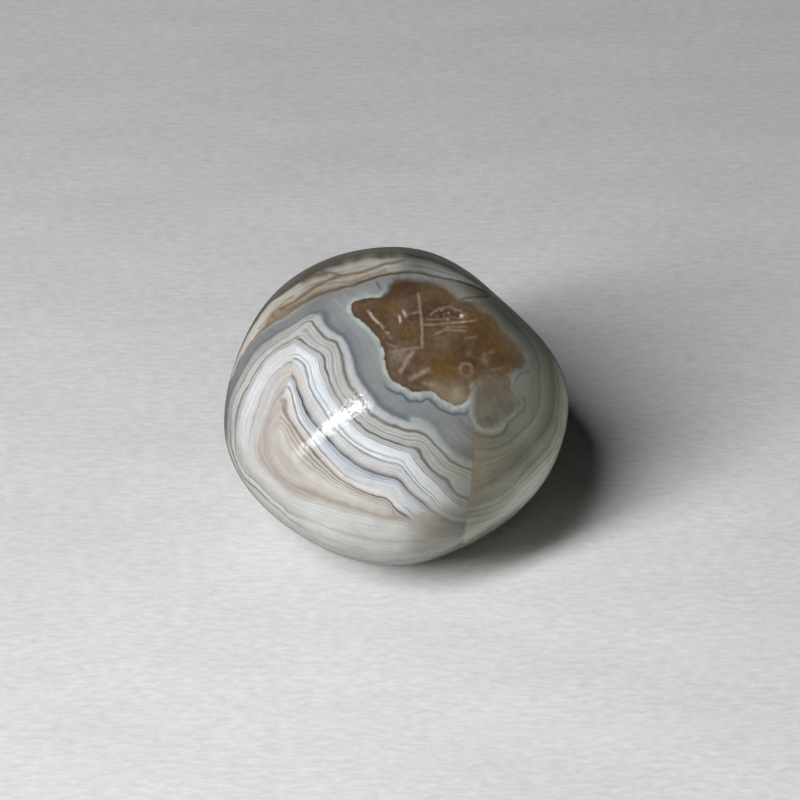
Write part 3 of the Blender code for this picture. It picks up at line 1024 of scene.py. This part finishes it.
STRIP_BANDS = (
    [
        (-0.6, (132, 136, 138)), (-0.15, (136, 138, 136)), (0.05, (142, 134, 120)),
        (0.2, (180, 172, 158)), (0.5, (190, 186, 176)), (0.75, (192, 190, 182)),
        (0.9, (150, 146, 134)), (1.0, (98, 94, 79)), (1.3, (94, 92, 77)),
        (1.6, (130, 128, 112)), (1.85, (114, 114, 100)), (2.5, (104, 106, 94)),
        (3.0, (146, 144, 134)), (3.8, (112, 111, 98)), (4.6, (166, 163, 154)),
        (5.2, (130, 128, 118)), (6.0, (178, 175, 167)), (7.0, (140, 138, 128)),
    ],
    [
        (0.0, 0.09, (112, 98, 82)), (0.35, 0.05, (166, 156, 140)), (0.6, 0.04, (176, 170, 158)),
        (1.1, 0.05, (72, 64, 50)), (1.48, 0.05, (82, 78, 62)), (2.2, 0.07, (84, 80, 68)),
        (2.75, 0.05, (100, 96, 86)), (3.4, 0.07, (90, 84, 72)), (4.2, 0.05, (116, 110, 100)),
        (5.0, 0.08, (112, 100, 88)), (5.6, 0.05, (140, 132, 122)), (6.5, 0.07, (118, 108, 96)),
    ],
)
STRIP_RIGHT_END = (
    [
        (-0.6, (108, 108, 102)), (-0.15, (92, 92, 84)), (0.0, (84, 84, 78)),
        (0.25, (114, 115, 112)), (0.7, (114, 114, 113)), (0.95, (104, 102, 97)),
        (1.15, (84, 82, 75)), (1.5, (86, 84, 76)), (1.8, (104, 105, 95)), (2.4, (92, 94, 86)),
        (3.2, (120, 120, 112)), (4.2, (96, 96, 88)), (5.4, (140, 138, 130)),
        (7.0, (112, 110, 102)),
    ],
    [
        (0.5, 0.05, (98, 98, 96)), (1.3, 0.07, (48, 46, 40)), (1.65, 0.04, (60, 58, 50)),
        (2.1, 0.06, (62, 62, 54)),
    ],
)

# Other colours, as they look in the photograph's light
# Of the quartz's colours, the pit colour is painted shade in the druzy's pits and the glint colour a
# painted highlight
QUARTZ_COLOURS = {
    "dark": (79, 61, 43), "dark_greyer": (85, 68, 53), "light": (98, 77, 54),
    "light_greyer": (101, 84, 68), "blurred_edge": (106, 90, 70), "crisp_edge": (66, 50, 38),
    "ochre": (107, 80, 43), "cream": (142, 131, 113), "pit_shade": (56, 42, 32), "glint": (150, 134, 122),
    "needle": (166, 149, 137),
}
LOBE_COLOURS = {
    "dark": (90, 86, 74), "light": (108, 104, 92), "brown": (96, 82, 66), "pale": (132, 134, 124),
    "edge": (134, 135, 124), "pale_line": (150, 153, 148),
}
RIM_COLOURS = {
    "halo": (148, 156, 158), "line": (98, 107, 113), "dull": (164, 170, 168), "bright": (186, 192, 190),
}
PALE_BAND_COLOUR = (180, 184, 184)
BEIGE = (214, 206, 188)
FADED_COLOUR = (172, 169, 161)
STRIP_WHITE = (200, 199, 192)
STRIP_VEIN = (102, 86, 68)
SIDE_BROWN = (104, 95, 84)
RUST = (124, 100, 80)
HAIRLINE = (54, 51, 46)
PAINTED_SPARKLE = (235, 228, 218)
# Warmer tint laid over the deepest painted shade
SHADE_WARM_TINT = (1.0, 0.985, 0.90, 1.0)

# How clear the lace's lines are where they are faintest, and at the bottom of the stone
LEAST_CLARITY = 0.65
LOW_CLARITY = 0.8

# Fine stripes: how many to a band, and how much of one goes by in a millimetre along it
STRIPES_PER_BAND = 5.0
STRIPE_STRETCH = 0.16

# Range that most values of a noise lie in
NOISE_LOW = 0.3
NOISE_HIGH = 0.7


class Nodes:
    """Short calls for building one material's node tree."""

    def __init__(self, material):
        material.use_nodes = True
        self.tree = material.node_tree
        self.shader = self.tree.nodes["Principled BSDF"]

    def add(self, kind, **settings):
        """A new node with its settings."""
        node = self.tree.nodes.new(kind)
        for name, value in settings.items():
            setattr(node, name, value)
        return node

    def feed(self, socket, value):
        """Link a socket to another, or set it to a value."""
        if isinstance(value, bpy.types.NodeSocket):
            self.tree.links.new(value, socket)
        else:
            socket.default_value = value

    def field(self, name):
        """One of the skin's fields."""
        return self.add("ShaderNodeAttribute", attribute_name=name).outputs["Fac"]

    def maths(self, operation, first, second=0.0):
        node = self.add("ShaderNodeMath", operation=operation)
        self.feed(node.inputs[0], first)
        self.feed(node.inputs[1], second)
        return node.outputs[0]

    def times(self, first, second):
        return self.maths("MULTIPLY", first, second)

    def between(self, value, start, end):
        """0 at the start and 1 at the end, with soft ends; the start may be the higher one."""
        node = self.add("ShaderNodeMapRange", interpolation_type="SMOOTHSTEP")
        self.feed(node.inputs["Value"], value)
        node.inputs["From Min"].default_value = start
        node.inputs["From Max"].default_value = end
        return node.outputs["Result"]

    def scaled(self, value, low, high, to_low=0.0, to_high=1.0):
        """The range from low to high carried over to another range, and held at its ends."""
        node = self.add("ShaderNodeMapRange")
        self.feed(node.inputs["Value"], value)
        node.inputs["From Min"].default_value = low
        node.inputs["From Max"].default_value = high
        node.inputs["To Min"].default_value = to_low
        node.inputs["To Max"].default_value = to_high
        return node.outputs["Result"]

    def varied(self, noise, to_low, to_high):
        """A noise carried over to a range."""
        return self.scaled(noise, NOISE_LOW, NOISE_HIGH, to_low, to_high)

    def mix(self, share, first, second, blend="MIX"):
        """Colour that goes from the first to the second as the share goes from 0 to 1."""
        node = self.add("ShaderNodeMix", data_type="RGBA", blend_type=blend)
        self.feed(node.inputs[0], share)
        self.feed(node.inputs[6], first)
        self.feed(node.inputs[7], second)
        return node.outputs[2]

    def blend_values(self, share, first, second):
        """Number that goes from the first to the second as the share goes from 0 to 1."""
        node = self.add("ShaderNodeMix", data_type="FLOAT")
        self.feed(node.inputs[0], share)
        self.feed(node.inputs[2], first)
        self.feed(node.inputs[3], second)
        return node.outputs[0]

    def shaded(self, colour, brightness):
        """Colour times a brightness."""
        node = self.add("ShaderNodeVectorMath", operation="SCALE")
        self.feed(node.inputs[0], colour)
        self.feed(node.inputs["Scale"], brightness)
        return node.outputs[0]

    def ramp(self, value, stops, light=1.0):
        """A ramp of any number of stops, in pieces of as many as one node holds."""
        result = None
        for start in range(0, len(stops) - 1, MOST_STOPS - 1):
            piece = stops[start:start + MOST_STOPS]
            low, high = piece[0][0], piece[-1][0]
            node = self.add("ShaderNodeValToRGB")
            elements = node.color_ramp.elements
            elements.remove(elements[1])
            elements[0].position = 0.0
            elements[0].color = seen(piece[0][1], light)
            for level, colour in piece[1:]:
                elements.new((level - low) / (high - low)).color = seen(colour, light)
            self.feed(node.inputs["Fac"], self.scaled(value, low, high))
            colour = node.outputs["Color"]
            if result is None:
                result = colour
            else:
                result = self.mix(self.maths("GREATER_THAN", value, low), result, colour)
        return result

    def bands(self, value, pattern, light, clarity):
        """Bands of a pattern, their lines as clear as asked."""
        ground, lines = pattern
        plain = self.ramp(value, ground, light)
        return self.mix(clarity, plain, self.ramp(value, banded(ground, lines), light))

    def noise(self, place, scale, detail, roughness):
        """Soft clouds, so many to a unit of length."""
        node = self.add("ShaderNodeTexNoise")
        self.feed(node.inputs["Vector"], place)
        node.inputs["Scale"].default_value = scale
        node.inputs["Detail"].default_value = detail
        node.inputs["Roughness"].default_value = roughness
        return node.outputs["Fac"]

    def place(self, x, y, z):
        """A place from its three coordinates."""
        node = self.add("ShaderNodeCombineXYZ")
        for socket, value in zip(node.inputs, (x, y, z)):
            self.feed(socket, value)
        return node.outputs[0]


def quartz_colour(nodes, spot):
    """Soft brown quartz: ochre and cream patches, pale needles, painted sparkles, and a druzy patch
    with painted glints and painted shade in its pits.
    """
    colours = all_seen(QUARTZ_COLOURS, QUARTZ_LIGHT)
    along_a = nodes.field("along_a")
    druzy = nodes.field("druzy")
    greyer = nodes.between(along_a, 4.5, 0.5)
    cloud = nodes.noise(spot, 0.5, 3.0, 0.55)
    grain = nodes.noise(spot, 2.2, 4.0, 0.65)
    dark = nodes.mix(greyer, colours["dark"], colours["dark_greyer"])
    light = nodes.mix(greyer, colours["light"], colours["light_greyer"])
    base = nodes.mix(nodes.between(cloud, 0.36, 0.64), dark, light)
    top = nodes.between(nodes.field("along_b"), 8.6, 10.2)
    outer = nodes.between(nodes.field("quartz"), -1.6, -0.2)
    edges = nodes.times(nodes.maths("MAXIMUM", top, outer), nodes.between(along_a, 1.0, 4.0))
    base = nodes.mix(nodes.times(edges, 0.8), base, colours["blurred_edge"])
    base = nodes.mix(nodes.field("ochre"), base, colours["ochre"])
    base = nodes.mix(nodes.field("cream"), base, colours["cream"])
    base = nodes.shaded(base, nodes.varied(grain, 0.78, 1.22))
    base = nodes.shaded(base, nodes.scaled(along_a, 6.5, 9.5, 1.0, 1.25))
    inner_edge = nodes.between(nodes.field("quartz_edge"), -5.0, -1.0)
    inner_edge = nodes.times(inner_edge, nodes.between(along_a, 4.0, 1.0))
    base = nodes.mix(nodes.times(inner_edge, 0.4), base, colours["crisp_edge"])
    # Druzy patch: dark specks of painted shade for its pits, and painted glints
    glitter = nodes.noise(spot, 4.5, 2.0, 0.6)
    pits = nodes.times(druzy, nodes.between(glitter, 0.46, 0.36))
    painted_glints = nodes.times(druzy, nodes.between(glitter, 0.60, 0.68))
    base = nodes.mix(pits, base, colours["pit_shade"])
    base = nodes.mix(nodes.times(painted_glints, 0.8), base, colours["glint"])
    uneven = nodes.varied(nodes.noise(spot, 2.2, 3.0, 0.6), 0.5, 1.25)
    base = nodes.mix(nodes.times(nodes.field("needles"), uneven), base, colours["needle"])
    # Painted highlights: white sparkles on the quartz
    return nodes.mix(nodes.field("painted_sparkle"), base, seen(PAINTED_SPARKLE))


def lobe_colour(nodes, spot):
    """Grey-green lobe, much like its surroundings, with a pale soft inner edge."""
    colours = all_seen(LOBE_COLOURS, LOBE_LIGHT)
    along_a = nodes.field("along_a")
    along_b = nodes.field("along_b")
    depth = nodes.field("lobe")
    grain = nodes.noise(spot, 0.9, 4.0, 0.6)
    inner = nodes.mix(nodes.between(grain, 0.35, 0.65), colours["dark"], colours["light"])
    inner = nodes.mix(nodes.between(along_b, 0.4, 2.2), inner, colours["brown"])
    inner = nodes.shaded(inner, nodes.scaled(along_a, 7.0, 10.0, 0.9, 1.2))
    left_or_low = nodes.maths(
        "MAXIMUM", nodes.between(along_a, 9.2, 7.2), nodes.between(along_b, -0.4, -1.4)
    )
    band = nodes.times(nodes.between(depth, -0.7, -0.3), left_or_low)
    pale = nodes.mix(nodes.times(band, 0.5), inner, colours["pale"])
    edge = nodes.times(nodes.between(depth, -0.22, -0.06), 0.7)
    edge = nodes.times(edge, nodes.between(along_a, 7.6, 9.2))
    return nodes.mix(edge, pale, colours["edge"])


def lace_colour(nodes, lace, spot):
    """Bands of the lace: right limb, left limb and bottom, fading where the fold runs out."""
    along_a = nodes.field("along_a")
    along_b = nodes.field("along_b")
    patches = nodes.between(nodes.noise(spot, 0.33, 2.0, 0.5), 0.34, 0.58)
    clarity = nodes.scaled(patches, 0.0, 1.0, LEAST_CLARITY, 1.0)
    clarity = nodes.times(clarity, nodes.between(nodes.field("lace_slope"), 0.12, 0.5))
    # The lace's lines grow fainter where painted shade darkens the stone
    clarity_in_shade = nodes.scaled(nodes.field("tone_and_painted_shading"), 0.62, 0.95, 0.68, 1.0)
    limb = nodes.bands(lace, RIGHT_LIMB, FULL_LIGHT, nodes.times(clarity, clarity_in_shade))
    left = nodes.bands(lace, LEFT_LIMB, LEFT_LIGHT, clarity)
    lower_left = nodes.bands(lace, LOWER_LEFT, LEFT_LIGHT, clarity)
    low = nodes.bands(lace, BOTTOM, LOW_LIGHT, nodes.times(clarity, LOW_CLARITY))
    outer = nodes.mix(nodes.between(along_b, -1.6, -4.2), left, lower_left)
    lowness = nodes.between(along_b, -6.0, -8.5)
    lowness = nodes.times(lowness, nodes.between(along_a, -10.5, -6.5))
    outer = nodes.mix(lowness, outer, low)
    colour = nodes.mix(nodes.between(nodes.field("fold"), -0.12, 0.12), outer, limb)
    colour = nodes.mix(nodes.field("pale_band"), colour, seen(PALE_BAND_COLOUR, FULL_LIGHT))
    colour = nodes.mix(nodes.field("beige"), colour, seen(BEIGE, LEFT_LIGHT))
    return nodes.mix(nodes.field("fading"), colour, seen(FADED_COLOUR, LOW_LIGHT))


def strip_colour(nodes, strip):
    """Bands of the strip beyond the top ridge, with brown veins; greyer at its right end, with painted
    light brightening both ends and the hidden side.
    """
    along = nodes.field("along_a")
    main = nodes.bands(strip, STRIP_BANDS, STRIP_LIGHT, 1.0)
    # Painted light: brighter towards the strip's left end
    main = nodes.shaded(main, nodes.scaled(along, -12.0, -6.0, 1.4, 1.0))
    main = nodes.mix(nodes.field("white_patches"), main, seen(STRIP_WHITE, STRIP_LIGHT))
    main = nodes.mix(nodes.field("veins"), main, seen(STRIP_VEIN, STRIP_LIGHT))
    right_end = nodes.bands(strip, STRIP_RIGHT_END, STRIP_END_LIGHT, 1.0)
    # Painted light: brighter towards the strip's right end
    right_end = nodes.shaded(right_end, nodes.scaled(along, 2.0, 7.0, 1.1, 2.7))
    visible = nodes.mix(nodes.between(along, -0.8, 1.6), main, right_end)
    # Painted light: much brighter on the hidden side
    return nodes.shaded(visible, nodes.scaled(nodes.field("hidden"), 0.0, 4.0, 1.0, 1.8))


def rim_over(nodes, colour, spot):
    """Pale rim round the quartz, with a darker line some way outside its lower part."""
    colours = all_seen(RIM_COLOURS, RIM_LIGHT)
    rim = nodes.field("rim")
    strength = nodes.field("rim_strength")
    halo = nodes.times(nodes.between(rim, 4.6, 0.8), nodes.times(strength, 0.45))
    colour = nodes.mix(halo, colour, colours["halo"])
    line = nodes.times(nodes.between(rim, 2.0, 2.6), nodes.between(rim, 3.6, 2.8))
    line = nodes.times(line, nodes.field("rim_line"))
    colour = nodes.mix(line, colour, colours["line"])
    cloud = nodes.noise(spot, 1.2, 2.0, 0.5)
    pale = nodes.mix(nodes.between(cloud, 0.35, 0.65), colours["dull"], colours["bright"])
    band = nodes.times(nodes.between(rim, 2.1, 0.5), strength)
    return nodes.mix(nodes.times(band, 0.92), colour, pale)


def banded_colour(nodes, spot):
    """Bands of the lace, the right side and the strip, with fine stripes along them."""
    ragged = nodes.varied(nodes.noise(spot, 2.0, 3.0, 0.6), -0.03, 0.03)
    lace_ragged = nodes.times(ragged, nodes.field("lace_slope"))
    lace = nodes.maths("ADD", nodes.field("lace"), lace_ragged)
    ragged = nodes.times(ragged, nodes.scaled(nodes.field("hidden"), 0.0, 1.5, 0.8, 0.3))
    right = nodes.maths("ADD", nodes.field("right_side"), ragged)
    strip = nodes.maths("ADD", nodes.field("back_strip"), ragged)
    past_ridge = nodes.between(strip, -0.18, -0.06)
    past_crack = nodes.between(nodes.field("crack_edge"), -1.0, 1.0)
    past_crack = nodes.times(past_crack, nodes.between(strip, 0.0, -0.1))
    colour = nodes.mix(past_ridge, lace_colour(nodes, lace, spot), strip_colour(nodes, strip))
    side = nodes.bands(right, RIGHT_BANDS, SHADE_LIGHT, 1.0)
    side = nodes.mix(nodes.field("brown_side"), side, seen(SIDE_BROWN, SHADE_LIGHT))
    colour = nodes.mix(past_crack, colour, side)

    level = nodes.blend_values(past_ridge, lace, strip)
    level = nodes.blend_values(past_crack, level, right)
    stretched = nodes.place(
        nodes.times(level, STRIPES_PER_BAND),
        nodes.times(nodes.field("along_a"), STRIPE_STRETCH),
        nodes.times(nodes.field("along_b"), STRIPE_STRETCH),
    )
    fine = nodes.varied(nodes.noise(stretched, 1.0, 3.0, 0.7), 0.86, 1.12)
    blending = nodes.times(past_crack, nodes.maths("SUBTRACT", 1.0, past_crack))
    return nodes.shaded(colour, nodes.blend_values(nodes.times(blending, 4.0), fine, 1.0))


def stone_colour(nodes, spot):
    """Colour of the whole stone."""
    mottle = nodes.noise(spot, 0.9, 4.0, 0.6)
    colour = nodes.shaded(banded_colour(nodes, spot), nodes.varied(mottle, 0.92, 1.07))
    # Painted shade and light, partly the stone's own tone, with a warmer tint where the shade is
    # deepest
    tone_and_painted_shading = nodes.field("tone_and_painted_shading")
    warmer_in_shade = nodes.between(tone_and_painted_shading, 0.95, 0.6)
    colour = nodes.mix(warmer_in_shade, colour, SHADE_WARM_TINT, "MULTIPLY")
    colour = nodes.shaded(colour, tone_and_painted_shading)
    colour = rim_over(nodes, colour, spot)
    colour = nodes.mix(nodes.field("rust"), colour, seen(RUST))
    lobe_share = nodes.times(nodes.between(nodes.field("lobe"), 0.10, -0.08), 0.85)
    colour = nodes.mix(lobe_share, colour, lobe_colour(nodes, spot))
    colour = nodes.mix(nodes.field("hairlines"), colour, seen(HAIRLINE))
    pale_line = seen(LOBE_COLOURS["pale_line"], LOBE_LIGHT)
    colour = nodes.mix(nodes.field("pale_lines"), colour, pale_line)
    inside_quartz = nodes.between(nodes.field("quartz_edge"), 1.0, -1.0)
    return nodes.mix(inside_quartz, colour, quartz_colour(nodes, spot))


def agate_material():
    """Polished agate: bands, quartz pocket, slight unevenness left by the tumbling."""
    material = bpy.data.materials.new("polished agate")
    nodes = Nodes(material)
    coordinates = nodes.add("ShaderNodeTexCoord").outputs["Object"]
    in_mm = nodes.add("ShaderNodeVectorMath", operation="SCALE")
    nodes.feed(in_mm.inputs[0], coordinates)
    in_mm.inputs["Scale"].default_value = 1.0 / MM
    spot = in_mm.outputs[0]
    nodes.feed(nodes.shader.inputs["Base Color"], stone_colour(nodes, spot))
    scuffs = nodes.noise(spot, 3.0, 5.0, 0.7)
    gloss = nodes.scaled(scuffs, 0.35, 0.7, BEST_POLISH, WORST_POLISH)
    nodes.feed(nodes.shader.inputs["Roughness"], gloss)
    nodes.shader.inputs["IOR"].default_value = AGATE_IOR
    unevenness = nodes.noise(spot, 2.0, 3.0, 0.6)
    bump = nodes.add("ShaderNodeBump")
    bump.inputs["Strength"].default_value = 1.0
    bump.inputs["Distance"].default_value = UNEVENNESS * MM
    nodes.feed(bump.inputs["Height"], unevenness)
    nodes.feed(nodes.shader.inputs["Normal"], bump.outputs["Normal"])
    return material


def paper_floor():
    """A plain pale floor with faint fibres, painted darker towards the back, and darker still where the
    stone's polish reflects it.
    """
    bpy.ops.mesh.primitive_plane_add(size=FLOOR_SIZE * MM)
    floor = bpy.context.object
    floor.name = "paper_floor"
    material = bpy.data.materials.new("plain paper")
    nodes = Nodes(material)
    coordinates = nodes.add("ShaderNodeTexCoord").outputs["Object"]
    split = nodes.add("ShaderNodeSeparateXYZ")
    nodes.feed(split.inputs[0], coordinates)
    depth = split.outputs["Y"]
    stretched = nodes.place(nodes.times(split.outputs["X"], FIBRE_STRETCH), depth, 0.0)
    fibres = nodes.noise(stretched, FIBRE_SCALE, 4.0, 0.7)
    smudges = nodes.noise(stretched, SMUDGE_SCALE, 3.0, 0.6)
    # Painted shade towards the back; for glossy rays the floor is darker still towards the back, a
    # painted reflection
    fading = nodes.scaled(depth, FLOOR_SHADE_FROM * MM, FLOOR_SHADE_TO * MM, 1.0, FLOOR_BACK_SHADE)
    mirrored = nodes.scaled(
        depth, MIRRORED_FROM * MM, MIRRORED_TO * MM, MIRRORED_FRONT, MIRRORED_BACK
    )
    in_polish = nodes.add("ShaderNodeLightPath").outputs["Is Glossy Ray"]
    fading = nodes.times(fading, nodes.blend_values(in_polish, 1.0, mirrored))
    colour = nodes.shaded(FLOOR_COLOUR, nodes.varied(fibres, 0.89, 1.11))
    colour = nodes.shaded(colour, nodes.varied(smudges, 0.96, 1.04))
    nodes.feed(nodes.shader.inputs["Base Color"], nodes.shaded(colour, fading))
    nodes.shader.inputs["Roughness"].default_value = 0.9
    nodes.shader.inputs["Specular IOR Level"].default_value = 0.2
    floor.data.materials.append(material)


def place_camera():
    """Camera above the front, aimed so that the stone lands where the photograph has it."""
    camera_data = bpy.data.cameras.new("camera")
    camera_data.sensor_width = SENSOR_WIDTH
    camera_data.lens = PX_PER_MM * CAMERA_DISTANCE * SENSOR_WIDTH / IMAGE_WIDTH_PX
    camera = bpy.data.objects.new("camera", camera_data)
    bpy.context.scene.collection.objects.link(camera)
    middle = IMAGE_WIDTH_PX / 2.0
    aside = (middle - STONE_IN_PHOTO_PX[0]) / PX_PER_MM
    above = (STONE_IN_PHOTO_PX[1] - middle) / PX_PER_MM
    target = STONE_CENTRE + VIEW_RIGHT * aside + VIEW_UP * above
    camera.location = Vector(target - VIEW_FORWARD * CAMERA_DISTANCE) * MM
    camera.rotation_euler = (math.radians(90.0 - CAMERA_ELEVATION_DEG), 0.0, 0.0)
    bpy.context.scene.camera = camera


def area_light(name, azimuth, elevation, distance, width, height, watts):
    """A soft rectangular light that faces the stone."""
    lamp = bpy.data.lights.new(name, "AREA")
    lamp.shape = "RECTANGLE"
    lamp.size = width * MM
    lamp.size_y = height * MM
    lamp.energy = watts
    holder = bpy.data.objects.new(name, lamp)
    bpy.context.scene.collection.objects.link(holder)
    towards = Vector(direction(azimuth, elevation))
    holder.location = Vector(STONE_CENTRE * MM) + towards * distance * MM
    holder.rotation_euler = towards.to_track_quat("Z", "Y").to_euler()
    return holder


def leaning_light(name, azimuth, elevation, distance, width, height, watts, shift=0.0):
    """A soft rectangular light whose long side leans as the window does, moved along that side."""
    holder = area_light(name, azimuth, elevation, distance, width, height, watts)
    away = Vector(direction(azimuth, elevation))
    along = Vector(WINDOW_LEAN)
    along = (along - away * along.dot(away)).normalized()
    holder.rotation_euler = Matrix((along.cross(away), along, away)).transposed().to_euler()
    holder.location = holder.location + along * shift * MM
    return holder


def light_the_scene():
    """A tall window at the front left, its glint on the stone, and a weak fill."""
    window = leaning_light(
        "tall_window", azimuth=227, elevation=44, distance=560, width=90, height=440, watts=4.3
    )
    window.visible_glossy = False
    glint = leaning_light(
        "glint", azimuth=218.8, elevation=33.7, distance=518, width=30, height=420, watts=1.3, shift=92
    )
    glint.visible_diffuse = False
    tail = leaning_light(
        "glint_tail", azimuth=218.8, elevation=33.7, distance=518, width=12, height=184, watts=0.22,
        shift=-210,
    )
    tail.visible_diffuse = False
    area_light("fill", azimuth=330, elevation=45, distance=600, width=500, height=500, watts=0.03)
    world = bpy.data.worlds.new("fill")
    bpy.context.scene.world = world
    world.use_nodes = True
    sky = world.node_tree.nodes["Background"]
    sky.inputs["Color"].default_value = (1.0, 1.0, 1.0, 1.0)
    sky.inputs["Strength"].default_value = WORLD_LIGHT
    bpy.context.scene.view_settings.view_transform = "Standard"


place_camera()
paper_floor()
stone = agate_object()
stone.data.materials.append(agate_material())
light_the_scene()
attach(stone, "root")
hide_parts("agate")
